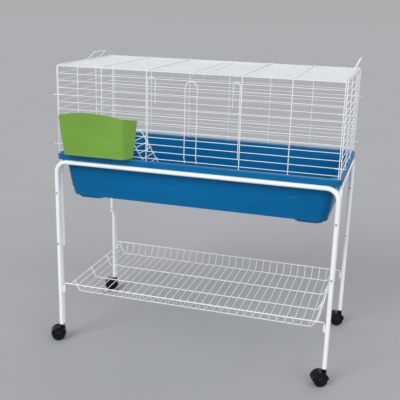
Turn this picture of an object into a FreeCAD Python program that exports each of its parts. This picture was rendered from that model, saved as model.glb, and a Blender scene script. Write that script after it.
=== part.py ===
import FreeCAD, Part
import math
import os
import re
import Sketcher
from FreeCAD import Placement, Rotation, Vector

doc = FreeCAD.newDocument("rabbit_cage")
sheet = doc.addObject("Spreadsheet::Sheet", "Sizes")

# Sizes in millimetres and degrees. X runs along the cage, Y to the back, Z up from the floor.
sizes = (
    ("leg_x", 502.5, "centre of a leg along the stand"),
    ("leg_y", 250, "centre of a leg across the stand"),
    ("oval_width", 15, "flat-oval tube, narrow way"),
    ("oval_depth", 30, "flat-oval tube, wide way"),
    ("tube_wall", 1.2, "wall of both tubes"),
    ("rail_top", 713, "top of the stand's rails"),
    ("frame_bend", 40.5, "centre-line bend of the front and rear frames"),
    ("caster_height", 65, "floor to the end of a leg"),
    ("insert_length", 30, "solid leg end that holds the caster stem"),
    ("end_tube", 16, "round tube of the end frames"),
    ("end_leg_bottom", 377, "lower end of the end frames"),
    ("end_bend", 40, "centre-line bend of the end frames"),
    ("frame_gap", 0.1, "end frame to leg"),
    ("wheel_diameter", 50, "caster wheel"),
    ("wheel_width", 15, "caster wheel"),
    ("wheel_edge", 2.5, "chamfer on the wheel's outer edge"),
    ("wheel_gap", 0.5, "wheel to web, and axle past the wheel"),
    ("web_width", 10, "caster web between the wheels"),
    ("axle_diameter", 6, "caster axle"),
    ("run_gap", 0.05, "radial running clearance"),
    ("caster_trail", 16, "stem to axle"),
    ("hood_gap", 1.2, "wheel to hood"),
    ("hood_wall", 2.5, "hood shell"),
    ("hood_drop", 5, "web below the axle"),
    ("boss_height", 57, "floor to the top of the hood's boss"),
    ("boss_diameter", 17, "hood boss under the stem"),
    ("stem_diameter", 8, "caster stem"),
    ("stem_reach", 26, "stem inside the leg"),
    ("collar_diameter", 14, "stem collar"),
    ("collar_gap", 0.3, "collar to leg end"),
    ("caster_angle", 208, "direction in which the casters trail"),
    ("shelf_wire", 2.6, "cross wires of the shelf"),
    ("shelf_rim_wire", 4, "rims and runners of the shelf"),
    ("shelf_rim_z", 233, "rim of the shelf"),
    ("shelf_depth", 38, "rim down to the runners"),
    ("shelf_floor_x", 444, "half length of the shelf's floor"),
    ("shelf_flare", 18, "lean of the end walls"),
    ("shelf_floor_y", 226, "half width of the shelf's floor"),
    ("shelf_pitch", 29.1, "cross wires"),
    ("shelf_count", 31, "cross wires"),
    ("runner_pitch", 144, "runners across the shelf"),
    ("rim_gap", 0.2, "end wire to the shelf's rims"),
    ("hook_drop", 34, "rim end turned down into its socket"),
    ("socket_offset", 4.5, "socket bore from the leg's face"),
    ("socket_wall", 2, "socket tube"),
    ("socket_height", 24, "socket tube"),
    ("socket_gap", 0.15, "rim end in its socket"),
    ("rim_z", 733, "top of the tray's rim"),
    ("rim_x", 507.5, "half length of the tray's rim"),
    ("rim_y", 253, "half width of the tray's rim"),
    ("rim_radius", 28, "corner of the rim"),
    ("tray_wall", 3, "tray sheet"),
    ("tray_depth", 156, "rim down to the base"),
    ("tray_gap", 4, "tray to the stand's tubes"),
    ("tray_taper_x", 22, "draw of the tray's ends"),
    ("tray_taper_y", 13, "draw of the tray's sides"),
    ("tray_radius", 34, "corner of the tray's walls"),
    ("crease_height", 29, "crease above the base"),
    ("crease_step", 3, "crease inset"),
    ("foot_height", 12, "pressed feet under the base"),
    ("foot_inset", 11, "feet inside the tray's walls"),
    ("foot_length", 112, "feet along the tray"),
    ("foot_slope", 10, "lean of the feet's sides"),
    ("foot_cut", 14, "cut corners of the feet"),
    ("wall_x", 499.5, "weld plane of the end panels"),
    ("corner_gap", 4.5, "outer uprights inside the end panels"),
    ("wall_y", 239, "weld plane of the front and rear panels"),
    ("upright_wire", 3, "heavy wires"),
    ("rail_wire", 2.2, "thin wires"),
    ("row_top", 1043, "top rail of the walls"),
    ("row_pitch", 24.9, "rails of the walls"),
    ("row_count", 13, "rails of the walls"),
    ("upright_pitch", 165, "uprights of the front and rear panels"),
    ("end_upright_pitch", 158, "uprights of the end panels"),
    ("rail_end", 1.6, "rail past its outer upright"),
    ("upright_top", 1.2, "upright past the top rail"),
    ("rear_upright_top", 7, "rear upright past the top rail"),
    ("roof_gap", 0.1, "roof on the wall's top rails"),
    ("roof_inset", 0.2, "roof inside the uprights"),
    ("roof_count", 20, "rails of the roof"),
    ("roof_end_x", 491, "end cross wires of the roof"),
    ("clip_past", 12, "corner hook past the end panel's uprights"),
    ("clip_hold", 15, "corner hook along the front and rear panels"),
    ("clip_return", 10, "corner hook turned back"),
    ("clip_rows", 7, "rails between the corner hooks"),
    ("clip_row", 4, "rail of the upper corner hooks"),
    ("door_wire", 2.5, "edge wires and latches of the doors"),
    ("door_edge_gap", 5, "door edge to the upright beside it"),
    ("hook_width", 25, "door hook along the rail"),
    ("hook_half", 3.5, "door hook across the rail"),
    ("hook_rise", 4.9, "door hook above the rail"),
    ("hook_leg", 84, "door hook behind the rail"),
    ("hook_tail", 0.5, "hooks of the roof door and handles past their pivots"),
    ("door_seat", 0.16, "rail behind the turned edge wire"),
    ("slide_gap", 0.3, "latches and hooks to the wires that they move on"),
    ("latch_half", 21, "half width of the front latch"),
    ("latch_x", -6, "front latch along the door"),
    ("latch_tip", 6, "front latch below the sill rail"),
    ("latch_jog", 11, "front latch above the sill rail"),
    ("roof_latch_half", 20, "half width of the roof latch"),
    ("roof_latch_x", 18, "roof latch along the door"),
    ("roof_latch_drop", 7, "roof latch below the top rail"),
    ("roof_latch_tip", 4.5, "roof latch turned back under the top rail"),
    ("roof_latch_length", 385, "roof latch along its door"),
    ("handle_wire", 3.5, "carrying handles"),
    ("handle_reach", 47, "handle grip from its pivot"),
    ("handle_bays", 4, "roof bays between a handle's legs"),
    ("left_handle_bay", 1, "left handle, bays behind the middle"),
    ("right_handle_bay", 4, "right handle, bays behind the middle"),
    ("left_handle_lean", -45, "left handle, outwards from upright"),
    ("right_handle_lean", 25, "right handle, outwards from upright"),
    ("rack_x", -344.5, "middle of the hay rack"),
    ("rack_gap", 0.3, "hay rack to the uprights"),
    ("rack_clear", 7, "hay rack above the tray's rim"),
    ("rack_front_rise", 12, "hay rack, front corners above its back corners"),
    ("rack_arch", 13, "rise of the hay rack's front edge"),
    ("rack_back_top", 150, "half width of the rack's back at the top"),
    ("rack_back_low", 131.5, "half width of the rack's back at the bottom"),
    ("rack_front_low", 112, "half width of the rack's front at the bottom"),
    ("rack_depth_top", 70, "depth of the rack at the top"),
    ("rack_depth_low", 42, "depth of the rack at the bottom"),
    ("rack_round", 15, "front corners of the rack"),
    ("rack_wall", 2.5, "hay rack sheet"),
    ("rack_bar", 14, "bar across the back of the rack"),
    ("rack_hook_x", 134, "hooks from the middle of the rack"),
    ("rack_hook_width", 12, "hooks of the rack"),
    ("rack_hook_drop", 9, "hooks behind the rail"),
    ("rack_row", 7, "rail that carries the hay rack"),
    ("ramp_wire", 4, "side wires of the ramp"),
    ("rung_wire", 3, "rungs of the ramp"),
    ("ramp_front", -152, "front side wire of the ramp"),
    ("ramp_width", 114, "between the ramp's side wires"),
    ("ramp_row", 10, "rail that carries the ramp"),
    ("ramp_level", 235, "level length of the ramp"),
    ("ramp_slope", 59, "slope of the ramp"),
    ("ramp_hook", 9, "ramp hook outside the rail"),
    ("rung_pitch", 23.5, "rungs of the ramp"),
)
bend_steps = 6
names = set()
for row, (alias, number, note) in enumerate(sizes, 1):
    sheet.set(f"A{row}", alias)
    sheet.set(f"B{row}", str(number))
    sheet.set(f"C{row}", note)
    sheet.setAlias(f"B{row}", alias)
    names.add(alias)
doc.recompute()
nodes = []


def bind(text):
    return re.sub(r"[a-z_]+", lambda word: "Sizes." * (word.group() in names) + word.group(), text)


def value(text):
    return float(sheet.evalExpression(bind(text)))


def plane(body, role):
    return next(item for item in body.Origin.OriginFeatures if item.Role == role)


def new_body(label, node=True):
    body = doc.addObject("PartDesign::Body", label)
    body.Label = label
    if node:
        nodes.append(body)
    return body


def placed(label, source, place):
    copy = doc.addObject("Part::Compound", label)
    copy.Label = label
    copy.Links = [source]
    copy.Placement = place
    nodes.append(copy)


def new_sketch(body, role, lift="0"):
    sketch = body.newObject("Sketcher::SketchObject", "Sketch")
    sketch.AttachmentSupport = (plane(body, role), [""])
    sketch.MapMode = "FlatFace"
    sketch.setExpression("AttachmentOffset.Base.z", bind(lift))
    return sketch


def bound(sketch, text, kind, *places):
    index = sketch.addConstraint(Sketcher.Constraint(kind, *places, value(text)))
    sketch.setExpression(f"Constraints[{index}]", bind(text))


def pin(sketch, item, end, x, y):
    bound(sketch, x, "DistanceX", -1, 1, item, end)
    bound(sketch, y, "DistanceY", -1, 1, item, end)


def polygon(sketch, points):
    corners = [Vector(value(x), value(y), 0) for x, y in points]
    lines = []
    for first, last in zip(corners, corners[1:] + corners[:1]):
        lines.append(sketch.addGeometry(Part.LineSegment(first, last), False))
    for k, line in enumerate(lines):
        sketch.addConstraint(Sketcher.Constraint("Coincident", lines[k - 1], 2, line, 1))
        pin(sketch, line, 1, *points[k])


def polyline(sketch, points):
    places = [Vector(value(x), value(y), 0) for x, y in points]
    for k, (first, last) in enumerate(zip(places, places[1:])):
        line = sketch.addGeometry(Part.LineSegment(first, last), False)
        pin(sketch, line, 1, *points[k])
        if k > 0:
            sketch.addConstraint(Sketcher.Constraint("Coincident", line - 1, 2, line, 1))
    pin(sketch, line, 2, *points[-1])


def circle(sketch, x, y, radius):
    place = Vector(value(x), value(y), 0)
    item = sketch.addGeometry(Part.Circle(place, Vector(0, 0, 1), value(radius)), False)
    pin(sketch, item, 3, x, y)
    bound(sketch, radius, "Radius", item)


def hexagon(sketch, x, y, wire, upright):
    side, flat = f"{wire} / sqrt(3)", f"{wire} / 2"
    ring = [("1", "0"), ("0.5", "1"), ("-0.5", "1"), ("-1", "0"), ("-0.5", "-1"), ("0.5", "-1")]
    points = []
    for along, across in ring:
        u, v = f"({along}) * {side}", f"({across}) * {flat}"
        points.append((f"{x} + {v}", f"{y} + {u}") if upright else (f"{x} + {u}", f"{y} + {v}"))
    polygon(sketch, points)


def quarter_arc(sketch, x, y, radius, first, last):
    ring = Part.Circle(Vector(value(x), value(y), 0), Vector(0, 0, 1), value(radius))
    item = sketch.addGeometry(Part.ArcOfCircle(ring, math.radians(first), math.radians(last)), False)
    pin(sketch, item, 3, x, y)
    bound(sketch, radius, "Radius", item)
    for end, angle in ((1, first), (2, last)):
        kind = "Horizontal" if angle % 180 == 0 else "Vertical"
        sketch.addConstraint(Sketcher.Constraint(kind, item, 3, item, end))
    return item


def closed_track(sketch, arcs):
    items = [quarter_arc(sketch, *arc) for arc in arcs]
    for first, last in zip(items, items[1:] + items[:1]):
        ends = Part.LineSegment(sketch.getPoint(first, 2), sketch.getPoint(last, 1))
        line = sketch.addGeometry(ends, False)
        sketch.addConstraint(Sketcher.Constraint("Coincident", first, 2, line, 1))
        sketch.addConstraint(Sketcher.Constraint("Coincident", last, 1, line, 2))


def rounded_rectangle(sketch, half_x, half_y, radius):
    x, y = f"({half_x} - ({radius}))", f"({half_y} - ({radius}))"
    corners = ((x, y, 0), (f"-{x}", y, 90), (f"-{x}", f"-{y}", 180), (x, f"-{y}", 270))
    closed_track(sketch, [(u, v, radius, angle, angle + 90) for u, v, angle in corners])


def ring(sketch, x, y, radius, sides, outside=False):
    half = math.pi / sides
    reach = 1 / math.cos(half) if outside else 1
    points = []
    for k in range(sides):
        u, v = reach * math.cos((2 * k + 1) * half), reach * math.sin((2 * k + 1) * half)
        points.append((f"{x} + {radius} * ({u:.9f})", f"{y} + {radius} * ({v:.9f})"))
    polygon(sketch, points)


def oval_section(sketch, x, y):
    lift = "(oval_depth - oval_width) / 2"
    for radius, sides in (("oval_width / 2", 6), ("(oval_width / 2 - tube_wall)", 3)):
        points = []
        for end, start in (("+", 0), ("-", 180)):
            for k in range(sides + 1):
                turn = math.radians(start + 180 * k / sides)
                narrow = f"{radius} * ({math.cos(turn):.9f})"
                wide = f"{end} {lift} + {radius} * ({math.sin(turn):.9f})"
                points.append((f"{x} + {narrow}", f"{y} {wide}"))
        polygon(sketch, points)


def round_section(sketch, x, y):
    ring(sketch, x, y, "end_tube / 2", 12, True)
    ring(sketch, x, y, "(end_tube / 2 - tube_wall)", 6)


def bent_tube(body, section, across, half, bottom, top, bend, crosswise):
    start = new_sketch(body, "XY_Plane", bottom)
    section(start, *((across, f"-{half}") if crosswise else (f"-{half}", across)))
    path = new_sketch(body, *(("YZ_Plane", across) if crosswise else ("XZ_Plane", f"-({across})")))
    turns = []
    for k in range(bend_steps):
        turn = math.radians(90 * (k + 0.5) / bend_steps)
        reach = f"{bend} / {math.cos(math.radians(45 / bend_steps)):.9f}"
        turns.append((f"({half} - {bend} + {reach} * {math.cos(turn):.9f})",
                      f"{top} - {bend} + {reach} * {math.sin(turn):.9f}"))
    route = [(half, bottom)] + turns
    polyline(path, [(f"-{u}", v) for u, v in route] + route[::-1])
    tube = body.newObject("PartDesign::AdditivePipe", "Tube")
    tube.Profile = start
    tube.Spine = (path, [f"Edge{k + 1}" for k in range(path.GeometryCount)])
    tube.Transition = "Right corner"
    body.Tip = tube


def pad(body, sketch, length, middle=False):
    feature = body.newObject("PartDesign::Pad", "Pad")
    feature.Profile = sketch
    if middle:
        feature.SideType = "Symmetric"
    feature.setExpression("Length", bind(length))
    body.Tip = feature
    return feature


def pocket(body, sketch, length, up=False, middle=False):
    feature = body.newObject("PartDesign::Pocket", "Pocket")
    feature.Profile = sketch
    feature.Reversed = up
    if middle:
        feature.SideType = "Symmetric"
    feature.setExpression("Length", bind(length))
    body.Tip = feature
    return feature


def bars(body, role, lift, length, place, wire, upright, count="1", step="0", axis="V_Axis"):
    sketch = new_sketch(body, role, lift)
    hexagon(sketch, *place, wire, upright)
    feature = pad(body, sketch, length, True)
    if value(count) > 1:
        pattern = body.newObject("PartDesign::LinearPattern", "Rows")
        pattern.Originals = [feature]
        pattern.Direction = (sketch, [axis])
        pattern.setExpression("Length", bind(f"({count} - 1) * ({step})"))
        pattern.setExpression("Occurrences", bind(count))
        body.Tip = pattern


def facing(feature, wanted):
    doc.recompute()
    faces = enumerate(feature.Shape.Faces, 1)
    return [f"Face{k}" for k, face in faces if wanted(face.normalAt(0, 0))]


def dress(body, kind, base, names, size, amount):
    feature = body.newObject(f"PartDesign::{kind}", kind)
    feature.Base = (base, names)
    feature.setExpression(size, bind(amount))
    body.Tip = feature
    return feature


def loft(body, kind, sketches):
    feature = body.newObject(f"PartDesign::{kind}Loft", "Loft")
    feature.Profile = sketches[0]
    feature.Sections = sketches[1:]
    feature.Ruled = True
    body.Tip = feature


def solids(label, shapes):
    node = doc.addObject("Part::Feature", label)
    node.Label = label
    node.Shape = shapes[0] if len(shapes) == 1 else Part.makeCompound(shapes)
    nodes.append(node)


def softened(points, radius, steps=2):
    line = [points[0]]
    for before, corner, after in zip(points, points[1:], points[2:]):
        come = (corner - before).normalize()
        leave = (after - corner).normalize()
        angle = come.getAngle(leave)
        inward = (leave - come * come.dot(leave)).normalize()
        centre = corner - come * (radius * math.tan(angle / 2)) + inward * radius
        reach = radius / math.cos(angle / steps / 2)
        for k in range(steps):
            turn = angle * (k + 0.5) / steps
            line.append(centre + (come * math.sin(turn) - inward * math.cos(turn)) * reach)
    return line + [points[-1]]


def bent_wire(points, flat, wire):
    along = (points[1] - points[0]).normalize()
    flat = Vector(flat).normalize()
    side = along.cross(flat)
    ring = []
    for k in range(7):
        turn = math.radians(60 * k)
        reach = value(wire) / math.sqrt(3)
        ring.append(points[0] + (side * math.cos(turn) + flat * math.sin(turn)) * reach)
    return Part.makePolygon(points).makePipeShell([Part.makePolygon(ring)], True, False, 1)


# Front and rear frames: a flat-oval tube bent to an inverted U, with solid ends bored for the caster stems.
for label, side in (("front_frame", "-"), ("rear_frame", "")):
    body = new_body(label)
    bent_tube(body, oval_section, f"{side}leg_y", "leg_x", "caster_height", "(rail_top - oval_width / 2)",
              "frame_bend", False)
    insert = new_sketch(body, "XY_Plane", "caster_height")
    for end in ("-", ""):
        ring(insert, f"{end}leg_x", f"{side}leg_y", "(oval_width / 2 - tube_wall / 2)", 8, True)
        circle(insert, f"{end}leg_x", f"{side}leg_y", "(stem_diameter / 2 + run_gap)")
    pad(body, insert, "insert_length")

# End frames: a round tube bent to an inverted U, standing against the inner side of the legs.
end_leg = "(leg_y - oval_depth / 2 - frame_gap - end_tube / 2)"
for label, side in (("left_end_frame", "-"), ("right_end_frame", "")):
    body = new_body(label)
    bent_tube(body, round_section, f"{side}leg_x", end_leg, "end_leg_bottom", "(rail_top - end_tube / 2)",
              "end_bend", True)

# Shelf sockets: a short tube with a foot on the inner face of each leg.
socket_bore = "(shelf_rim_wire / sqrt(3) + socket_gap)"
socket_outer = f"({socket_bore} + socket_wall)"
leg_face = "(leg_x - oval_width / 2)"
socket_x = f"({leg_face} - socket_offset)"
socket_low = "(shelf_rim_z - hook_drop)"
body = new_body("shelf_sockets")
for side in ("-", ""):
    for end in ("-", ""):
        outline = new_sketch(body, "XY_Plane", socket_low)
        corners = ((leg_face, "-"), (leg_face, ""), (socket_x, ""),
                   (f"({socket_x} - {socket_outer})", "0 * "), (socket_x, "-"))
        points = [(f"{end}{x}", f"{side}leg_y + {turn}{socket_outer} * 1.15") for x, turn in corners]
        polygon(outline, points if end == "" else points[::-1])
        ring(outline, f"{end}{socket_x}", f"{side}leg_y", socket_bore, 8, True)
        pad(body, outline, "socket_height")

# Caster: hood with web and boss, stem, axle and wheel, built at the origin and placed under each leg.
# It repeats, so its round pieces are drawn with few sides.
wheel_radius = "(wheel_diameter / 2)"
hood_inner = f"({wheel_radius} + hood_gap)"
hood_outer = f"({hood_inner} + hood_wall)"
wheel_inner = "(web_width / 2 + wheel_gap)"
wheel_outer = f"({wheel_inner} + wheel_width)"
web_low = f"({wheel_radius} - hood_drop)"


def hood_arc(radius):
    points = []
    for angle in range(0, 181, 20):
        turn = math.radians(angle)
        points.append((f"caster_trail + {radius} * ({math.cos(turn):.9f})",
                       f"{wheel_radius} + {radius} * ({math.sin(turn):.9f})"))
    return points


hood = new_body("caster_hood", False)
shell = new_sketch(hood, "XZ_Plane")
polygon(shell, hood_arc(hood_outer)
        + [("caster_trail - axle_diameter", web_low), ("caster_trail + axle_diameter", web_low)])
ring(shell, "caster_trail", wheel_radius, "axle_diameter / 2", 12)
pad(hood, shell, f"2 * {wheel_outer} - wheel_edge", True)
boss = new_sketch(hood, "XY_Plane", f"{wheel_radius} + {hood_inner} / 2")
ring(boss, "0", "0", "boss_diameter / 2", 12)
pad(hood, boss, f"boss_height - {wheel_radius} - {hood_inner} / 2")
for side, outward in (("", True), ("-", False)):
    room = new_sketch(hood, "XZ_Plane", f"{side}web_width / 2")
    polygon(room, hood_arc(hood_inner)
            + [(f"caster_trail - {hood_inner}", "0"), (f"caster_trail + {hood_inner}", "0")])
    pocket(hood, room, wheel_outer, outward)

stem = new_body("caster_stem", False)
collar = new_sketch(stem, "XY_Plane", "boss_height")
ring(collar, "0", "0", "collar_diameter / 2", 12)
pad(stem, collar, "caster_height - collar_gap - boss_height")
shank = new_sketch(stem, "XY_Plane", "caster_height - collar_gap")
ring(shank, "0", "0", "stem_diameter / 2", 12)
pad(stem, shank, "stem_reach + collar_gap")

axle = new_body("caster_axle", False)
pin_ring = new_sketch(axle, "XZ_Plane")
ring(pin_ring, "0", "0", "axle_diameter / 2", 12)
pad(axle, pin_ring, f"2 * ({wheel_outer} + wheel_gap)", True)

wheel = new_body("caster_wheel", False)
tread = new_sketch(wheel, "XZ_Plane", f"{wheel_inner} + wheel_width / 2")
ring(tread, "0", "0", wheel_radius, 24, True)
disc = pad(wheel, tread, "wheel_width", True)
dress(wheel, "Chamfer", disc, facing(disc, lambda normal: normal.y < -0.9), "Size", "wheel_edge")
bore = new_sketch(wheel, "XZ_Plane")
ring(bore, "0", "0", "(axle_diameter / 2 + run_gap)", 12, True)
pocket(wheel, bore, f"4 * {wheel_outer}", False, True)

half_turn = Placement(Vector(0, 0, 0), Rotation(Vector(0, 0, 1), 180))
for end, turn_y in (("front", -1), ("rear", 1)):
    for side, turn_x in (("left", -1), ("right", 1)):
        foot = Vector(turn_x * value("leg_x"), turn_y * value("leg_y"), 0)
        seat = Placement(foot, Rotation(Vector(0, 0, 1), value("caster_angle")))
        hub = seat * Placement(Vector(value("caster_trail"), 0, value(wheel_radius)), Rotation())
        placed(f"{end}_{side}_caster_hood", hood, seat)
        placed(f"{end}_{side}_caster_stem", stem, seat)
        placed(f"{end}_{side}_caster_axle", axle, hub)
        placed(f"{end}_{side}_inner_wheel", wheel, hub)
        placed(f"{end}_{side}_outer_wheel", wheel, hub * half_turn)

# Shelf basket of bent wires, hung by the turned-down ends of its rims.
rim_z, low_z = value("shelf_rim_z"), value("shelf_rim_z - shelf_depth")
hang_x = value(socket_x)
rims = []
for y in (-value("leg_y"), value("leg_y")):
    drop = Vector(0, 0, value("hook_drop"))
    left, right = Vector(-hang_x, y, rim_z), Vector(hang_x, y, rim_z)
    ends = [left - drop, left, right, right - drop]
    rims.append(bent_wire(softened(ends, 2 * value("shelf_rim_wire")), (0, 1, 0), "shelf_rim_wire"))
solids("shelf_rims", rims)
floor_x, end_x = value("shelf_floor_x"), value("shelf_floor_x + shelf_flare")
runners = []
for k in range(4):
    y = (k - 1.5) * value("runner_pitch")
    line = [Vector(-end_x, y, rim_z), Vector(-floor_x, y, low_z), Vector(floor_x, y, low_z),
            Vector(end_x, y, rim_z)]
    along = line[1] - line[0]
    runners.append(bent_wire(line, Vector(0, 1, 0).cross(along), "shelf_rim_wire"))
solids("shelf_runners", runners)
lean = math.atan2(value("shelf_flare"), value("shelf_depth"))
outward = Vector(math.cos(lean), 0, -math.sin(lean))
weld = value("shelf_rim_wire")
end_wires = []
for flip in (-1, 1):
    for part in (0, 0.5):
        middle = Vector(end_x, 0, rim_z) * (1 - part) + Vector(floor_x, 0, low_z) * part
        middle = middle + outward * weld
        half = value("leg_y - shelf_rim_wire / 2 - rim_gap")
        if part > 0:
            half = value("runner_pitch * 1.5 + shelf_rim_wire")
        ends = [Vector(flip * middle.x, turn * half, middle.z) for turn in (-1, 1)]
        end_wires.append(bent_wire(ends, Vector(flip * outward.x, 0, outward.z), "shelf_rim_wire"))
solids("shelf_end_wires", end_wires)
floor_z = low_z + value("(shelf_rim_wire + shelf_wire) / 2")
floor_y = value("shelf_floor_y")
slope = Vector(0, value("leg_y") - floor_y, value("shelf_depth")).normalize()
inset = Vector(0, -slope.z, slope.y) * value("(shelf_rim_wire / sqrt(3) + shelf_wire / 2)")
top = Vector(0, value("leg_y"), rim_z) + inset + slope * value("shelf_wire")
knee = top - slope * ((top.z - floor_z) / slope.z)
cross_wires = []
for k in range(int(value("shelf_count"))):
    x = (k - value("shelf_count - 1") / 2) * value("shelf_pitch")
    line = [Vector(x, -top.y, top.z), Vector(x, -knee.y, knee.z), Vector(x, knee.y, knee.z),
            Vector(x, top.y, top.z)]
    cross_wires.append(bent_wire(line, (line[1] - line[0]).cross(Vector(1, 0, 0)), "shelf_wire"))
solids("shelf_cross_wires", cross_wires)

# Tray: drawn walls with a crease, a pressed foot at each end and a rim turned down over the stand's rails.
top_x = "(leg_x - end_tube / 2 - tray_gap)"
top_y = "(leg_y - oval_depth / 2 - tray_gap)"
base_z = "(rim_z - tray_depth)"
crease_z = f"({base_z} + crease_height)"
share = "(crease_height / tray_depth)"
foot_x = f"({top_x} - tray_taper_x - foot_inset - foot_length / 2)"
foot_y = f"({top_y} - tray_taper_y - foot_inset)"
levels = ((base_z, "0", "crease_step"), (crease_z, share, "0"), ("(rim_z - tray_wall)", "1", "0"))
tray = new_body("tray")


def cut_rectangle(sketch, middle, half_x, half_y, cut):
    short_x, short_y = f"({half_x} - {cut})", f"({half_y} - {cut})"
    ends = ((f"+ {half_x}", short_y), (f"+ {short_x}", half_y), (f"- {short_x}", half_y),
            (f"- {half_x}", short_y))
    points = [(f"{middle} {x}", y) for x, y in ends]
    polygon(sketch, points + [(x, f"-{y}") for x, y in points[::-1]])


def end_feet(kind, rise, inset):
    for side in ("-", ""):
        sketches = []
        for drop, step in (("0", "0"), ("foot_height", "foot_slope")):
            sketch = new_sketch(tray, "XY_Plane", f"{base_z} + {rise} - {drop}")
            half_x, half_y = f"(foot_length / 2 - {step} - {inset})", f"({foot_y} - {step} - {inset})"
            cut_rectangle(sketch, f"{side}{foot_x}", half_x, half_y, "foot_cut")
            sketches.append(sketch)
        loft(tray, kind, sketches)


for kind, offset, rise in (("Additive", "0", "0"), ("Subtractive", "tray_wall", "tray_wall")):
    if kind == "Subtractive":
        flange = new_sketch(tray, "XY_Plane", "rim_z - tray_wall")
        rounded_rectangle(flange, "rim_x", "rim_y", "rim_radius")
        pad(tray, flange, "tray_wall")
        lip = new_sketch(tray, "XY_Plane", "rail_top")
        rounded_rectangle(lip, "rim_x", "rim_y", "rim_radius")
        rounded_rectangle(lip, "(rim_x - tray_wall)", "(rim_y - tray_wall)", "(rim_radius - tray_wall)")
        pad(tray, lip, "rim_z - tray_wall - rail_top")
        end_feet("Additive", "0", "0")
    sketches = []
    for z, part, step in levels:
        sketch = new_sketch(tray, "XY_Plane", f"{z} + {rise}")
        x = f"({top_x} - tray_taper_x * (1 - {part}) - {step} - {offset})"
        y = f"({top_y} - tray_taper_y * (1 - {part}) - {step} - {offset})"
        rounded_rectangle(sketch, x, y, f"(tray_radius - {offset})")
        sketches.append(sketch)
    loft(tray, kind, sketches)
end_feet("Subtractive", "tray_wall", "tray_wall")

# Wire panels: heavy uprights outside, thin rails welded to their inner side.
low_row = "(row_top - (row_count - 1) * row_pitch)"
rail_y = "(wall_y - rail_wire / 2)"
rail_x = "(wall_x - rail_wire / 2)"
upright_y = "(wall_y + upright_wire / 2)"
upright_x = "(wall_x + upright_wire / 2)"
outer_x = "(wall_x - corner_gap)"
bay_count = f"floor(({outer_x} - upright_wire) / upright_pitch)"
rail_length = f"2 * ({outer_x} + rail_end)"
short_middle = f"(({outer_x} + upright_pitch) / 2)"
short_length = f"({outer_x} - upright_pitch + 2 * rail_end)"
stand_height = "(row_top + upright_top - rim_z)"
rear_height = "(row_top + rear_upright_top - rim_z)"

uprights = new_body("front_panel_uprights")
for start, count in ((f"-{outer_x}", "1"), (f"-{bay_count} * upright_pitch", bay_count),
                     ("upright_pitch", bay_count), (outer_x, "1")):
    bars(uprights, "XY_Plane", f"rim_z + {stand_height} / 2", stand_height, (start, f"-{upright_y}"),
         "upright_wire", True, count, "upright_pitch", "H_Axis")
rails = new_body("front_panel_rails")
bars(rails, "YZ_Plane", "0", rail_length, (f"-{rail_y}", "(row_top - row_pitch)"),
     "rail_wire", True, "2", "row_pitch")
bars(rails, "YZ_Plane", "0", rail_length, (f"-{rail_y}", low_row), "rail_wire", True)
for middle in (f"-{short_middle}", short_middle):
    bars(rails, "YZ_Plane", middle, short_length, (f"-{rail_y}", f"({low_row} + row_pitch)"),
         "rail_wire", True, "(row_count - 3)", "row_pitch")
uprights = new_body("rear_panel_uprights")
for start, count in ((f"-{outer_x}", "1"), (f"-{bay_count} * upright_pitch", f"(2 * {bay_count} + 1)"),
                     (outer_x, "1")):
    bars(uprights, "XY_Plane", f"rim_z + {rear_height} / 2", rear_height, (start, upright_y),
         "upright_wire", True, count, "upright_pitch", "H_Axis")
rails = new_body("rear_panel_rails")
bars(rails, "YZ_Plane", "0", rail_length, (rail_y, low_row), "rail_wire", True, "row_count", "row_pitch")
for label, side in (("left", "-"), ("right", "")):
    uprights = new_body(f"{label}_panel_uprights")
    bars(uprights, "XY_Plane", f"rim_z + {stand_height} / 2", stand_height,
         (f"{side}{upright_x}", "-1.5 * end_upright_pitch"), "upright_wire", False, "4", "end_upright_pitch")
    rails = new_body(f"{label}_panel_rails")
    bars(rails, "XZ_Plane", "0", "3 * end_upright_pitch + 2 * rail_end", (f"{side}{rail_x}", low_row),
         "rail_wire", True, "row_count", "row_pitch")

# Roof panel: thin rails on the wall tops with heavy cross wires over them and a doorway in the middle.
corner = "rail_wire / sqrt(3)"
roof_z = f"(row_top + {corner} + roof_gap + rail_wire / 2)"
roof_y = f"(wall_y - roof_inset - {corner})"
roof_pitch = f"(2 * {roof_y} / (roof_count - 1))"
hinge_y = f"({roof_y} - 2 * {roof_pitch})"
cross_z = f"({roof_z} + (rail_wire + upright_wire) / 2)"
roof = new_body("roof_panel_rails")
bars(roof, "YZ_Plane", "0", rail_length, (f"-{roof_y}", roof_z), "rail_wire", False)
bars(roof, "YZ_Plane", "0", rail_length, (hinge_y, roof_z), "rail_wire", False, "3", roof_pitch, "H_Axis")
for middle in (f"-{short_middle}", short_middle):
    bars(roof, "YZ_Plane", middle, short_length, (f"-{roof_y} + {roof_pitch}", roof_z), "rail_wire", False,
         "(roof_count - 4)", roof_pitch, "H_Axis")
cross = new_body("roof_panel_cross_wires")
cross_length = "2 * (wall_y - roof_inset)"
cross_count = "floor((roof_end_x - upright_wire) / upright_pitch)"
for side, start in (("-", f"-{cross_count} * upright_pitch"), ("", "upright_pitch")):
    bars(cross, "XZ_Plane", "0", cross_length, (f"{side}roof_end_x", cross_z), "upright_wire", False)
    bars(cross, "XZ_Plane", "0", cross_length, (start, cross_z),
         "upright_wire", False, cross_count, "upright_pitch", "H_Axis")

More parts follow.
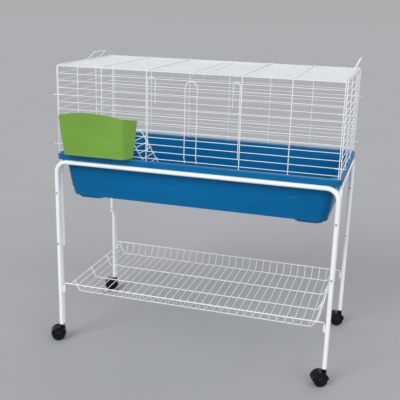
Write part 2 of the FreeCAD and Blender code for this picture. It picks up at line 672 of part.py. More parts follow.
# Corner hooks: bent wires on the outer uprights that reach round the end panels.
clips = []
for flip in (-1, 1):
    for turn in (-1, 1):
        for step in (0, value("clip_rows")):
            z = value("row_top - clip_row * row_pitch") - step * value("row_pitch")
            y = value("wall_y + upright_wire + rail_wire / 2")
            past = value("wall_x + upright_wire + clip_past")
            line = [Vector(flip * value(f"{outer_x} - clip_hold"), turn * y, z),
                    Vector(flip * past, turn * y, z),
                    Vector(flip * past, turn * (y - value("clip_return")), z)]
            clips.append(bent_wire(softened(line, 1.5 * value("rail_wire")), (0, 1, 0), "rail_wire"))
solids("corner_hooks", clips)

# Front door: rails on two edge wires whose hooks hang over the second rail of the panel.
edge_x = "(upright_pitch - door_edge_gap)"
edge_y = f"({rail_y} + hook_half)"
door_y = f"({edge_y} - door_wire / 2 - door_seat - rail_wire / 2)"
door_low = f"({low_row} + row_pitch)"
rails = new_body("front_door_rails")
bars(rails, "YZ_Plane", "0", f"2 * ({edge_x} + rail_end)", (f"-{door_y}", door_low),
     "rail_wire", True, "(row_count - 3)", "row_pitch")
edges = []
hang_z = value("row_top - row_pitch")
for flip in (-1, 1):
    front = Vector(flip * value(edge_x), -value(edge_y), 0)
    back = Vector(flip * (value(edge_x) - value("hook_width")), -value(rail_y) + value("hook_half"), 0)
    crown = Vector(0, 0, hang_z + value("hook_rise"))
    line = [front + Vector(0, 0, value(door_low) - value("rail_end")), front + crown, back + crown,
            back + Vector(0, 0, hang_z - value("hook_leg"))]
    across = back - front
    edges.append(bent_wire(softened(line, across.Length / 2, 3), across.cross(Vector(0, 0, 1)), "door_wire"))
solids("front_door_edges", edges)
latch_y = value(door_y) + value("(rail_wire + door_wire) / 2 + slide_gap")
sill_back = value(rail_y) - value("(rail_wire + door_wire) / 2 + slide_gap")
sill = value(low_row)
apex = hang_z - value("rail_wire / 2")
line = []
for flip in (-1, 1):
    x = value("latch_x") + flip * value("latch_half")
    leg = [Vector(x, -sill_back, sill - value("latch_tip")),
           Vector(x, -sill_back, sill + value("latch_jog / 2"))]
    rise = [Vector(x, -latch_y, sill + value("latch_jog")), Vector(x, -latch_y, apex),
            Vector(value("latch_x"), -latch_y, apex)]
    half = leg + softened(rise, value("latch_half"), 3)[:-1]
    line = line + (half if flip < 0 else half[::-1])
solids("front_door_latch", [bent_wire(line, (0, 1, 0), "door_wire")])

# Roof door: rails under two edge wires that hook round a roof rail, and a latch under the front rail.
hook_reach = f"({corner} + slide_gap + upright_wire / 2)"
roof_edge_z = f"({roof_z} + {hook_reach})"
roof_door_z = f"({roof_edge_z} - (upright_wire + rail_wire) / 2)"
rails = new_body("roof_door_rails")
bars(rails, "YZ_Plane", "0", f"2 * ({edge_x} + rail_end)", (f"-{roof_y} + {roof_pitch}", roof_door_z),
     "rail_wire", False, "(roof_count - 4)", roof_pitch, "H_Axis")
edges = []
for flip in (-1, 1):
    x = flip * value(edge_x)
    reach = value(hook_reach)
    pivot = Vector(x, value(hinge_y), value(roof_z))
    line = [Vector(x, -value("wall_y"), pivot.z + reach), pivot + Vector(0, reach, reach),
            pivot + Vector(0, reach, -reach), pivot + Vector(0, -value("hook_tail"), -reach)]
    edges.append(bent_wire(softened(line, reach), (1, 0, 0), "upright_wire"))
solids("roof_door_edges", edges)
latch_z = value(roof_door_z) + value("(rail_wire + door_wire) / 2 + slide_gap")
nose_y = -value("wall_y") - value("door_wire / 2 + slide_gap")
tip_z = value("row_top - roof_latch_drop")
heel_y = nose_y + value("roof_latch_length")
line = []
for flip in (-1, 1):
    x = value("roof_latch_x") + flip * value("roof_latch_half")
    nose = [Vector(x, nose_y + value("roof_latch_tip"), tip_z), Vector(x, nose_y, tip_z),
            Vector(x, nose_y, latch_z), Vector(x, heel_y, latch_z)]
    nose = softened(nose, value("door_wire"))
    loop = softened([nose[-2], Vector(x, heel_y, latch_z), Vector(value("roof_latch_x"), heel_y, latch_z)],
                    value("roof_latch_half"), 3)
    half = nose[:-1] + loop[1:-1]
    line = line + (half if flip < 0 else half[::-1])
solids("roof_door_latch", [bent_wire(line, (1, 0, 0), "door_wire")])

# Handles: wire bails hooked under the roof's end wires between two rails.
pitch = value(roof_pitch)
grip = value("handle_reach")
ear = value("upright_wire / sqrt(3) + slide_gap + handle_wire / 2")
for label, flip in (("left", -1), ("right", 1)):
    lean = math.radians(value(f"{label}_handle_lean"))
    rise = Vector(flip * math.sin(lean), 0, math.cos(lean))
    side = Vector(-flip * math.cos(lean), 0, math.sin(lean))
    line = []
    for turn in (-1, 1):
        y = pitch * value(f"{label}_handle_bay") + turn * pitch * value("handle_bays") / 2
        pivot = Vector(flip * value("roof_end_x"), y, value(cross_z))
        corner_point = pivot + side * ear + rise * grip
        middle = corner_point - Vector(0, turn * pitch, 0)
        hook = [pivot - side * ear + rise * value("hook_tail"), pivot - (side + rise) * ear,
                pivot + (side - rise) * ear, corner_point]
        hook = softened(hook, ear)
        bend = softened([hook[-2], corner_point, middle], 2 * value("handle_wire"))
        half = hook[:-1] + bend[1:-1]
        line = line + (half if turn < 0 else half[::-1])
    solids(f"{label}_handle", [bent_wire(line, (0, 1, 0), "handle_wire")])

# Hay rack: a drawn hopper with leaning walls and rounded front corners, open at the top and back.
# A bar joins its walls at the back, and two hooks on the bar hang over a rail.
back_y = "(wall_y + upright_wire + rack_gap)"
carry_z = "(row_top - rack_row * row_pitch)"
hook_low = f"({carry_z} + {corner} + slide_gap)"
bar_top = f"({hook_low} + rack_wall)"
bar_low = f"({bar_top} - rack_bar)"
rack_bottom = "(rim_z + rack_clear)"
shoulder = f"({bar_top} + rack_front_rise)"
rack_height = f"({shoulder} + rack_arch - {rack_bottom})"
front_y = f"({back_y} + rack_depth_low)"
rack = new_body("hay_rack")
plan = new_sketch(rack, "XY_Plane", rack_bottom)
polygon(plan, [("rack_x - rack_back_low", f"-{back_y}"), ("rack_x - rack_front_low", f"-{front_y}"),
               ("rack_x + rack_front_low", f"-{front_y}"), ("rack_x + rack_back_low", f"-{back_y}")])
hopper = pad(rack, plan, rack_height)
side_run = "sqrt(rack_depth_low ^ 2 + (rack_back_low - rack_front_low) ^ 2)"
side_spread = f"(rack_back_top - rack_back_low) * rack_depth_low / {side_run}"
leans = ((lambda normal: normal.y < -0.9, "(rack_depth_top - rack_depth_low)"),
         (lambda normal: abs(normal.x) > 0.5, side_spread))
for wanted, spread in leans:
    floor_face = facing(hopper, lambda normal: normal.z < -0.9)
    lean = dress(rack, "Draft", hopper, facing(hopper, wanted), "Angle", f"atan({spread} / {rack_height})")
    lean.NeutralPlane = (hopper, floor_face)
    lean.Reversed = True
    hopper = lean
doc.recompute()
corner_edges = []
for k, edge in enumerate(hopper.Shape.Edges, 1):
    if edge.BoundBox.ZLength > value(rack_height) / 2 and edge.BoundBox.YMax < -value(back_y) - 1:
        corner_edges.append(f"Edge{k}")
rounded = dress(rack, "Fillet", hopper, corner_edges, "Radius", "rack_round")
open_faces = facing(rounded, lambda normal: normal.z > 0.9 or normal.y > 0.9)
sheet_walls = dress(rack, "Thickness", rounded, open_faces, "Value", "rack_wall")
sheet_walls.Reversed = True
back_cut = new_sketch(rack, "YZ_Plane", "rack_x")
beyond = f"-{back_y} + 4 * rack_wall"
below = f"{rack_bottom} - rack_wall"
above = f"{rack_bottom} + {rack_height} + rack_wall"
front_in = f"-({back_y} + rack_depth_top - rack_wall * 1.5)"
polygon(back_cut, [(f"-{back_y}", below), (beyond, below), (beyond, above), (front_in, above),
                   (front_in, shoulder), (f"-{back_y}", bar_top)])
pocket(rack, back_cut, "3 * rack_back_top", False, True)
arch_cut = new_sketch(rack, "XZ_Plane", back_y)
arch_half = "(rack_back_top - (rack_back_low - rack_front_low) * rack_depth_top / rack_depth_low)"
left, right = f"rack_x - {arch_half}", f"rack_x + {arch_half}"
ends = [Vector(value(x), value(shoulder), 0) for x in (left, right)]
crown = Vector(value("rack_x"), value(f"{shoulder} + rack_arch"), 0)
edge = arch_cut.addGeometry(Part.Arc(ends[0], crown, ends[1]), False)
for end, x in enumerate((left, right), 1):
    place = 1 if (arch_cut.getPoint(edge, 1) - ends[end - 1]).Length < 0.001 else 2
    pin(arch_cut, edge, place, x, shoulder)
bound(arch_cut, f"({arch_half} ^ 2 + rack_arch ^ 2) / (2 * rack_arch)", "Radius", edge)
far_left, far_right = "rack_x - 2 * rack_back_top", "rack_x + 2 * rack_back_top"
outline = [(right, shoulder), (far_right, shoulder), (far_right, above), (far_left, above),
           (far_left, shoulder), (left, shoulder)]
spots = [Vector(value(x), value(z), 0) for x, z in outline]
for (x, z), first, last in zip(outline, spots, spots[1:]):
    line = arch_cut.addGeometry(Part.LineSegment(first, last), False)
    pin(arch_cut, line, 1, x, z)
pin(arch_cut, line, 2, *outline[-1])
pocket(rack, arch_cut, "2 * rack_depth_top", True)
bar = new_sketch(rack, "XZ_Plane", back_y)
spread = f"(rack_back_low + (rack_back_top - rack_back_low) * ({bar_low} - {rack_bottom}) / {rack_height})"
polygon(bar, [(f"rack_x - {spread}", bar_low), (f"rack_x + {spread}", bar_low),
              (f"rack_x + {spread}", bar_top), (f"rack_x - {spread}", bar_top)])
pad(rack, bar, "rack_wall")
hook_back = f"({rail_y} - rail_wire / 2 - slide_gap)"
for side in ("-", "+"):
    hook = new_sketch(rack, "YZ_Plane", f"rack_x {side} rack_hook_x")
    hook_end = f"{hook_low} - rack_hook_drop"
    hook_in, bar_out = f"-{hook_back} + rack_wall", f"-{back_y} - rack_wall"
    polygon(hook, [(f"-{back_y}", hook_low), (f"-{hook_back}", hook_low), (f"-{hook_back}", hook_end),
                   (hook_in, hook_end), (hook_in, bar_top), (bar_out, bar_top), (bar_out, bar_low),
                   (f"-{back_y}", bar_low)])
    pad(rack, hook, "rack_hook_width", True)

# Ramp: two side wires hooked over a rail of the left panel, level first, then down to the tray's floor.
carry = value("row_top - ramp_row * row_pitch")
level = carry + value(f"{corner} + slide_gap + ramp_wire / 2")
outside = -value(f"{rail_x} + rail_wire / 2 + slide_gap + ramp_wire / 2")
fall = math.radians(value("ramp_slope"))
down = Vector(math.cos(fall), 0, -math.sin(fall))
over = Vector(math.sin(fall), 0, math.cos(fall))
brow = Vector(-value(rail_x) + value("ramp_level"), 0, level)
floor = value(f"{base_z} + tray_wall")
floor = floor + value("slide_gap + ramp_wire / sqrt(3)") * math.cos(fall)
run = (level - floor) / math.sin(fall)
sides = []
for y in (value("ramp_front"), value("ramp_front + ramp_width")):
    shift = Vector(0, y, 0)
    line = [Vector(outside, y, level - value("ramp_hook")), Vector(outside, y, level), brow + shift,
            brow + down * run + shift]
    hook = softened(line[:3], value("ramp_wire"))
    bend = softened([hook[-2], line[2], line[3]], 4 * value("ramp_wire"))
    sides.append(bent_wire(hook[:-1] + bend[1:], (1, 0, 0), "ramp_wire"))
solids("ramp_sides", sides)
rungs = []
seat = value("(ramp_wire + rung_wire) / 2")
step = value("rung_pitch")
reach = (value("ramp_front") - value("ramp_wire"), value("ramp_front + ramp_width + ramp_wire"))
for k in range(1, int(value("ramp_level") / step)):
    ends = [Vector(-value(rail_x) + k * step, y, level + seat) for y in reach]
    rungs.append(bent_wire(ends, (0, 0, 1), "rung_wire"))
for k in range(1, int(run / step)):
    ends = [brow + down * (k * step) + over * seat + Vector(0, y, 0) for y in reach]
    rungs.append(bent_wire(ends, over, "rung_wire"))
solids("ramp_rungs", rungs)

doc.recompute()
for item in doc.Objects:
    if "Invalid" in item.State or "Error" in item.State:
        raise RuntimeError(f"{item.Label} failed: {item.getStatusString()}")
box = FreeCAD.BoundBox()
for node in nodes:
    if node.Shape.isNull() or not node.Shape.isValid():
        raise RuntimeError(f"{node.Label} has no valid shape")
    box.add(node.Shape.BoundBox)

# The origin is moved to the floor under the middle of the whole part.
centre = Placement(Vector(-box.Center.x, -box.Center.y, 0), Rotation())
os.makedirs("parts", exist_ok=True)
for node in nodes:
    node.Placement = centre * node.Placement
    node.Shape.exportStep(f"parts/{node.Label}.step")
moved = f"{centre.Base.x:.4f}, {centre.Base.y:.4f}"
print(f"{len(nodes)} nodes, origin moved by {moved}, height {box.ZMax:.2f}")
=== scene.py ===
import bmesh
import bpy
import math
from mathutils import Matrix, Vector


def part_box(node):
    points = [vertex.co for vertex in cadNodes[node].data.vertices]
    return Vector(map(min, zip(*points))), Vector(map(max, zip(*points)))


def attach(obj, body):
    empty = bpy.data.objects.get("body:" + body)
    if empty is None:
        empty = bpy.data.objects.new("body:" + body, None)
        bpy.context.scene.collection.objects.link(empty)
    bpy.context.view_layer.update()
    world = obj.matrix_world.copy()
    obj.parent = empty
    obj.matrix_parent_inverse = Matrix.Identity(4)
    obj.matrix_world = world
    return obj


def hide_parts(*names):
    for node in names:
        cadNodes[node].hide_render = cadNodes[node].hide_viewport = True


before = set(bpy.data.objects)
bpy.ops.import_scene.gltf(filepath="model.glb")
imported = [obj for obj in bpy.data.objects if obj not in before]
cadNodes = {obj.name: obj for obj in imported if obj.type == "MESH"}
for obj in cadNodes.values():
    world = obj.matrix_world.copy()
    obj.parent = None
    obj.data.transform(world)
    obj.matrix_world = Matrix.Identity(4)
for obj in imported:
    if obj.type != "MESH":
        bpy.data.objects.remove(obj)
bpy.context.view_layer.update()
print("frame loaded:", len(cadNodes), "nodes")

# Sizes below are in millimetres from the cage's middle on the floor, and become metres here.
mm = 0.001
trayLow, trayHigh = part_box("tray")
cageMiddle = Vector(((trayLow.x + trayHigh.x) / 2, (trayLow.y + trayHigh.y) / 2, 0))


def at(x, y, z):
    return cageMiddle + Vector((x, y, z)) * mm


# Inputs of a node are set, or linked where a socket is given.
def setInputs(tree, node, inputs):
    for name, given in inputs.items():
        if isinstance(given, bpy.types.NodeSocket):
            tree.links.new(given, node.inputs[name])
        else:
            node.inputs[name].default_value = given


def addNode(tree, kind, inputs, **settings):
    node = tree.nodes.new(kind)
    for name, setting in settings.items():
        setattr(node, name, setting)
    setInputs(tree, node, inputs)
    return node


# Finishes: painted wire and tube, moulded plastic and bright steel.
def startFinish(name):
    material = bpy.data.materials.new(name)
    material.use_nodes = True
    tree = material.node_tree
    tree.nodes.clear()
    shader = tree.nodes.new("ShaderNodeBsdfPrincipled")
    coords = tree.nodes.new("ShaderNodeTexCoord")
    addNode(tree, "ShaderNodeOutputMaterial", {"Surface": shader.outputs["BSDF"]})
    return material, tree, shader, coords.outputs["Object"]


def addNoise(tree, coords, scale, detail, stretch=(1, 1, 1)):
    mapping = addNode(tree, "ShaderNodeMapping", {"Vector": coords, "Scale": stretch})
    noise = addNode(tree, "ShaderNodeTexNoise", {
        "Vector": mapping.outputs["Vector"], "Scale": scale, "Detail": detail})
    return noise.outputs["Fac"]


# A ramp runs from one tone to another between two places, and a tone is a colour or a grey level.
def addRamp(tree, factor, blend, tones):
    ramp = addNode(tree, "ShaderNodeValToRGB", {"Fac": factor})
    for element, place, tone in zip(ramp.color_ramp.elements, blend, tones):
        element.position = place
        element.color = (*tone, 1) if isinstance(tone, tuple) else (tone, tone, tone, 1)
    return ramp.outputs["Color"]


def addPattern(tree, coords, pattern, tones):
    noise = addNoise(tree, coords, pattern["scale"], pattern["detail"], pattern.get("stretch", (1, 1, 1)))
    return addRamp(tree, noise, pattern["blend"], tones)


# The mix node's colours are inputs 6 and 7 and output 2, because other sockets have the same names.
def addMix(tree, factor, base, colour):
    mix = addNode(tree, "ShaderNodeMix", {"Factor": factor, 6: base, 7: (*colour, 1)}, data_type="RGBA")
    return mix.outputs[2]


# The distance of a bump is in metres.
def addBump(tree, shader, height, strength, distance):
    bump = addNode(tree, "ShaderNodeBump", {"Height": height, "Strength": strength, "Distance": distance})
    setInputs(tree, shader, {"Normal": bump.outputs["Normal"]})


paint = {
    "light": (0.865, 0.885, 0.9), "dull": (0.835, 0.855, 0.87), "scuffTone": (0.66, 0.66, 0.65),
    "gloss": 0.3, "worn": 0.42, "coat": 0.12, "coatRough": 0.2,
    "peel": 420, "peelDetail": 1, "peelHeight": 0.00005,
    "cloud": {"scale": 9, "detail": 4, "blend": (0.35, 0.6)},
    "scuff": {"scale": 160, "detail": 2, "blend": (0.8, 0.84)},
    "wear": {"scale": 38, "detail": 3, "blend": (0.3, 0.75)}}


def makePaint(name, tone, peelStrength):
    material, tree, shader, coords = startFinish(name)
    tones = [tuple(channel * tone for channel in paint[key]) for key in ("dull", "light")]
    base = addPattern(tree, coords, paint["cloud"], tones)
    specks = addPattern(tree, coords, paint["scuff"], (0, 1))
    setInputs(tree, shader, {
        "Base Color": addMix(tree, specks, base, paint["scuffTone"]),
        "Roughness": addPattern(tree, coords, paint["wear"], (paint["gloss"], paint["worn"])),
        "Coat Weight": paint["coat"], "Coat Roughness": paint["coatRough"]})
    peel = addNoise(tree, coords, paint["peel"], paint["peelDetail"])
    addBump(tree, shader, peel, peelStrength, paint["peelHeight"])
    return material


moulding = {"wear": {"scale": 26, "detail": 4, "blend": (0.3, 0.72)}, "grainDetail": 2, "grainHeight": 0.0002}


def makeMoulded(name, look):
    material, tree, shader, coords = startFinish(name)
    base = addPattern(tree, coords, look["flow"], (look["deep"], look["light"]))
    rubbed = addPattern(tree, coords, look["rub"], (0, look["rubStrength"]))
    setInputs(tree, shader, {
        "Base Color": addMix(tree, rubbed, base, look["rubTone"]),
        "Roughness": addPattern(tree, coords, moulding["wear"], (look["gloss"], look["dull"])),
        "Specular IOR Level": look["shine"]})
    grain = addNoise(tree, coords, look["grain"], moulding["grainDetail"])
    addBump(tree, shader, grain, look["grainStrength"], moulding["grainHeight"])
    return material


steel = {
    "dark": (0.5, 0.5, 0.51), "bright": (0.68, 0.68, 0.69), "gloss": 0.22, "worn": 0.38, "blend": (0.3, 0.7),
    "brush": 300, "brushDetail": 3, "brushStretch": (1, 1, 0.04),
    "brushStrength": 0.15, "brushHeight": 0.0001}


def makeSteel(name):
    material, tree, shader, coords = startFinish(name)
    brush = addNoise(tree, coords, steel["brush"], steel["brushDetail"], steel["brushStretch"])
    setInputs(tree, shader, {
        "Base Color": addRamp(tree, brush, steel["blend"], (steel["dark"], steel["bright"])),
        "Roughness": addRamp(tree, brush, steel["blend"], (steel["gloss"], steel["worn"])),
        "Metallic": 1})
    addBump(tree, shader, brush, steel["brushStrength"], steel["brushHeight"])
    return material


tubePaint = makePaint("tubePaint", tone=1.0, peelStrength=0.1)
wirePaint = makePaint("wirePaint", tone=0.985, peelStrength=0.05)
trayPlastic = makeMoulded("trayPlastic", {
    "light": (0.0, 0.13, 0.325), "deep": (0.0, 0.11, 0.285),
    "rubTone": (0.16, 0.32, 0.48), "rubStrength": 0.12,
    "flow": {"scale": 3, "detail": 3, "blend": (0.3, 0.7), "stretch": (1, 1, 2.5)},
    "rub": {"scale": 60, "detail": 2, "blend": (0.68, 0.74), "stretch": (0.12, 1, 1)},
    "gloss": 0.3, "dull": 0.42, "shine": 0.14, "grain": 900, "grainStrength": 0.08})
rackPlastic = makeMoulded("rackPlastic", {
    "light": (0.205, 0.4, 0.062), "deep": (0.165, 0.335, 0.045),
    "rubTone": (0.42, 0.6, 0.25), "rubStrength": 0.1,
    "flow": {"scale": 6, "detail": 3, "blend": (0.3, 0.7), "stretch": (1, 1, 2)},
    "rub": {"scale": 90, "detail": 2, "blend": (0.68, 0.74), "stretch": (1, 1, 0.15)},
    "gloss": 0.3, "dull": 0.42, "shine": 0.25, "grain": 800, "grainStrength": 0.08})
casterPlastic = makeMoulded("casterPlastic", {
    "light": (0.006, 0.006, 0.0075), "deep": (0.003, 0.003, 0.004),
    "rubTone": (0.02, 0.02, 0.022), "rubStrength": 0.25,
    "flow": {"scale": 30, "detail": 3, "blend": (0.3, 0.7)},
    "rub": {"scale": 240, "detail": 2, "blend": (0.68, 0.74), "stretch": (1, 1, 0.3)},
    "gloss": 0.24, "dull": 0.34, "shine": 0.2, "grain": 1500, "grainStrength": 0.1})
brightSteel = makeSteel("brightSteel")
print("finishes made")


# Trees for swept wires and tubes, weld beads and screw heads.
def startTree(name, sockets):
    tree = bpy.data.node_groups.new(name, "GeometryNodeTree")
    tree.interface.new_socket("Geometry", in_out="INPUT", socket_type="NodeSocketGeometry")
    for socket, kind in sockets.items():
        tree.interface.new_socket(socket, in_out="INPUT", socket_type="NodeSocket" + kind)
    tree.interface.new_socket("Geometry", in_out="OUTPUT", socket_type="NodeSocketGeometry")
    return tree, tree.nodes.new("NodeGroupInput").outputs


def closeTree(tree, source, given):
    smooth = addNode(tree, "GeometryNodeSetShadeSmooth", {"Geometry": source})
    real = addNode(tree, "GeometryNodeRealizeInstances", {"Geometry": smooth.outputs["Geometry"]})
    coat = addNode(tree, "GeometryNodeSetMaterial", {
        "Geometry": real.outputs["Geometry"], "Material": given["Finish"]})
    addNode(tree, "NodeGroupOutput", {"Geometry": coat.outputs["Geometry"]})
    return tree


def readAttribute(tree, name):
    return addNode(tree, "GeometryNodeInputNamedAttribute", {"Name": name}).outputs["Attribute"]


def addFillet(tree, curve, radius, steps):
    fillet = addNode(tree, "GeometryNodeFilletCurve", {
        "Curve": curve, "Radius": radius, "Count": steps, "Limit Radius": True}, mode="POLY")
    return fillet.outputs["Curve"]


def addRoundSection(tree, given):
    outline = addNode(tree, "GeometryNodeCurvePrimitiveCircle", {
        "Resolution": given["Sides"], "Radius": given["Radius"]})
    return outline.outputs["Curve"]


# The arcs at the ends of the oval stay just short of half its width, so that they don't meet.
ovalEnd = {"share": 0.4999, "steps": 8}


def addOvalSection(tree, given):
    outline = addNode(tree, "GeometryNodeCurvePrimitiveQuadrilateral", {
        "Width": given["Width"], "Height": given["Depth"]})
    arc = addNode(tree, "ShaderNodeMath", {0: given["Width"], 1: ovalEnd["share"]}, operation="MULTIPLY")
    return addFillet(tree, outline.outputs["Curve"], arc.outputs["Value"], ovalEnd["steps"])


def makeSweepTree(name, sockets, addSection):
    tree, given = startTree(name, {**sockets, "Bend Steps": "Int", "Caps": "Bool", "Finish": "Material"})
    line = addNode(tree, "GeometryNodeMeshToCurve", {"Mesh": given["Geometry"]})
    path = addFillet(tree, line.outputs["Curve"], readAttribute(tree, "bend"), given["Bend Steps"])
    sweep = addNode(tree, "GeometryNodeCurveToMesh", {
        "Curve": path, "Profile Curve": addSection(tree, given), "Scale": readAttribute(tree, "taper"),
        "Fill Caps": given["Caps"]})
    return closeTree(tree, sweep.outputs["Mesh"], given)


bead = {"segments": 8, "rings": 5}


def makeBeadTree():
    tree, given = startTree("weldBeads", {"Radius": "Float", "Finish": "Material"})
    ball = addNode(tree, "GeometryNodeMeshUVSphere", {
        "Segments": bead["segments"], "Rings": bead["rings"], "Radius": given["Radius"]})
    scatter = addNode(tree, "GeometryNodeInstanceOnPoints", {
        "Points": given["Geometry"], "Instance": ball.outputs["Mesh"]})
    return closeTree(tree, scatter.outputs["Instances"], given)


screwHead = {"sides": 20, "soft": 0.5, "softSteps": 3, "coreSides": 12}


def makeScrewTree():
    tree, given = startTree("screwHeads", {
        "Radius": "Float", "Height": "Float", "Core": "Float", "Rotation": "Vector", "Finish": "Material"})
    rim = addNode(tree, "GeometryNodeCurvePrimitiveCircle", {
        "Resolution": screwHead["sides"], "Radius": given["Radius"]})
    edge = addNode(tree, "GeometryNodeCurvePrimitiveQuadrilateral", {
        "Width": given["Radius"], "Height": given["Height"]})
    rounded = addFillet(tree, edge.outputs["Curve"], screwHead["soft"] * mm, screwHead["softSteps"])
    head = addNode(tree, "GeometryNodeCurveToMesh", {"Curve": rim.outputs["Curve"], "Profile Curve": rounded})
    core = addNode(tree, "GeometryNodeMeshCylinder", {
        "Vertices": screwHead["coreSides"], "Radius": given["Radius"], "Depth": given["Core"]})
    whole = addNode(tree, "GeometryNodeJoinGeometry", {"Geometry": head.outputs["Mesh"]})
    setInputs(tree, whole, {"Geometry": core.outputs["Mesh"]})
    scatter = addNode(tree, "GeometryNodeInstanceOnPoints", {
        "Points": given["Geometry"], "Instance": whole.outputs["Geometry"], "Rotation": given["Rotation"]})
    return closeTree(tree, scatter.outputs["Instances"], given)


wireTree = makeSweepTree("roundWire", {"Radius": "Float", "Sides": "Int"}, addRoundSection)
tubeTree = makeSweepTree("ovalTube", {"Width": "Float", "Depth": "Float"}, addOvalSection)
beadTree = makeBeadTree()
screwTree = makeScrewTree()


# Makers that the pieces share.
def newPiece(name, mesh):
    piece = bpy.data.objects.new(name, mesh)
    bpy.context.scene.collection.objects.link(piece)
    return piece


def fitPiece(piece, body, node=None):
    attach(piece, body)
    if node:
        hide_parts(node)


def growPiece(name, lines, tree, settings):
    piece = newPiece(name, lines)
    grow = piece.modifiers.new("grow", "NODES")
    grow.node_group = tree
    for item in tree.interface.items_tree:
        if item.in_out == "INPUT" and item.name in settings:
            grow[item.identifier] = settings[item.name]
    shown = piece.evaluated_get(bpy.context.evaluated_depsgraph_get())
    mesh = bpy.data.meshes.new_from_object(shown)
    mesh.name = name
    piece.modifiers.clear()
    piece.data = mesh
    bpy.data.meshes.remove(lines)
    return piece


def markPlaces(name, places):
    mesh = bpy.data.meshes.new(name + "Places")
    mesh.from_pydata(places, [], [])
    return mesh


# A run is a list of (point, bend radius) pairs. Small rings ease its ends, each with how far in it lies and
# its share of the full size.
wireEnd = ((0, 0.6), (0.12, 0.82), (0.42, 1.0))
tubeEnd = ((0, 0.94), (1, 1.0), (2, 1.0))


def drawRuns(name, runs, ease, rings):
    points, bends, tapers, edges = [], [], [], []
    for run in runs:
        places = [place for place, bend in run]
        start, end = places[0], places[-1]
        inward, outward = (places[1] - start).normalized(), (places[-2] - end).normalized()
        chain = [(start + inward * (ease * share), 0, size) for share, size in rings]
        chain += [(place, bend * mm, 1.0) for place, bend in run[1:-1]]
        chain += [(end + outward * (ease * share), 0, size) for share, size in reversed(rings)]
        first = len(points)
        for place, bend, size in chain:
            points.append(place)
            bends.append(bend)
            tapers.append(size)
        edges += [(k, k + 1) for k in range(first, len(points) - 1)]
    mesh = bpy.data.meshes.new(name + "Lines")
    mesh.from_pydata(points, edges, [])
    for label, values in (("bend", bends), ("taper", tapers)):
        mesh.attributes.new(label, "FLOAT", "POINT").data.foreach_set("value", values)
    return mesh


def addWires(name, body, node, wire, runs, sides=10, bendSteps=6):
    piece = growPiece(name, drawRuns(name, runs, wire * mm, wireEnd), wireTree, {
        "Radius": wire / 2 * mm, "Sides": sides, "Bend Steps": bendSteps, "Caps": True, "Finish": wirePaint})
    fitPiece(piece, body, node)


def addBeads(name, body, radius, places):
    piece = growPiece(name, markPlaces(name, places), beadTree, {"Radius": radius * mm, "Finish": wirePaint})
    fitPiece(piece, body)


def addMesh(name, body, slot, finish, points, faces, node=None):
    mesh = bpy.data.meshes.new(name)
    mesh.from_pydata(points, [], faces)
    mesh.materials.append(finish)
    mesh.shade_smooth()
    fitPiece(newPiece(name, mesh), body, node)


# Rings of as many points each are skinned in order, and the last is joined to the first.
def skinRings(rings):
    count = len(rings[0])
    points = [point for ring in rings for point in ring]
    faces = []
    for k in range(len(rings)):
        here, there = k * count, (k + 1) % len(rings) * count
        for j in range(count):
            faces.append((here + j, there + j, there + (j + 1) % count, here + (j + 1) % count))
    return points, faces


# A lathed profile of (radius, height) pairs that starts and ends on its axis.
def lathe(base, axis, profile, steps):
    first = axis.orthogonal().normalized()
    second = axis.cross(first)
    points = [base + axis * (height * mm) for height in (profile[0][1], profile[-1][1])]
    faces = []
    for radius, height in profile[1:-1]:
        for k in range(steps):
            turn = 2 * math.pi * k / steps
            spoke = first * math.cos(turn) + second * math.sin(turn)
            points.append(base + axis * (height * mm) + spoke * (radius * mm))
    rows = len(profile) - 2
    for k in range(steps):
        after = (k + 1) % steps
        faces.append((0, 2 + after, 2 + k))
        for row in range(rows - 1):
            low, high = 2 + row * steps, 2 + (row + 1) * steps
            faces.append((low + k, low + after, high + after, high + k))
        last = 2 + (rows - 1) * steps
        faces.append((1, last + k, last + after))
    return points, faces


# A copy of a CAD node with its corners merged and its sharp edges rounded over. Angles are in degrees.
softening = {"merge": 1e-6, "flat": 1, "sharp": 28, "weight": 80}


def addSoftCopy(name, body, node, finish, width, steps, reshape=None):
    work = bmesh.new()
    work.from_mesh(cadNodes[node].data)
    work.transform(cadNodes[node].matrix_world)
    bmesh.ops.remove_doubles(work, verts=work.verts, dist=softening["merge"])
    flat, limit = math.radians(softening["flat"]), math.radians(softening["sharp"])
    bmesh.ops.dissolve_limit(work, angle_limit=flat, verts=work.verts, edges=work.edges)
    sharp = [edge for edge in work.edges if len(edge.link_faces) == 2 and edge.calc_face_angle() > limit]
    bmesh.ops.bevel(work, geom=sharp, offset=width * mm, offset_type="OFFSET", segments=steps, profile=0.5,
                    affect="EDGES", clamp_overlap=True)
    if reshape:
        reshape(work)
    mesh = bpy.data.meshes.new(name)
    work.to_mesh(mesh)
    work.free()
    mesh.materials.append(finish)
    mesh.shade_smooth()
    piece = newPiece(name, mesh)
    weigh = piece.modifiers.new("weigh", "WEIGHTED_NORMAL")
    weigh.weight = softening["weight"]
    fitPiece(piece, body, node)


def cutThrough(work, place, normal):
    return bmesh.ops.bisect_plane(work, geom=[*work.verts, *work.edges, *work.faces], dist=softening["merge"],
                                  plane_co=place, plane_no=normal)


def straight(first, last):
    return [(at(*first), 0), (at(*last), 0)]


# Places along a row that has its middle at zero.
def inRow(count, pitch):
    return [(k - (count - 1) / 2) * pitch for k in range(count)]


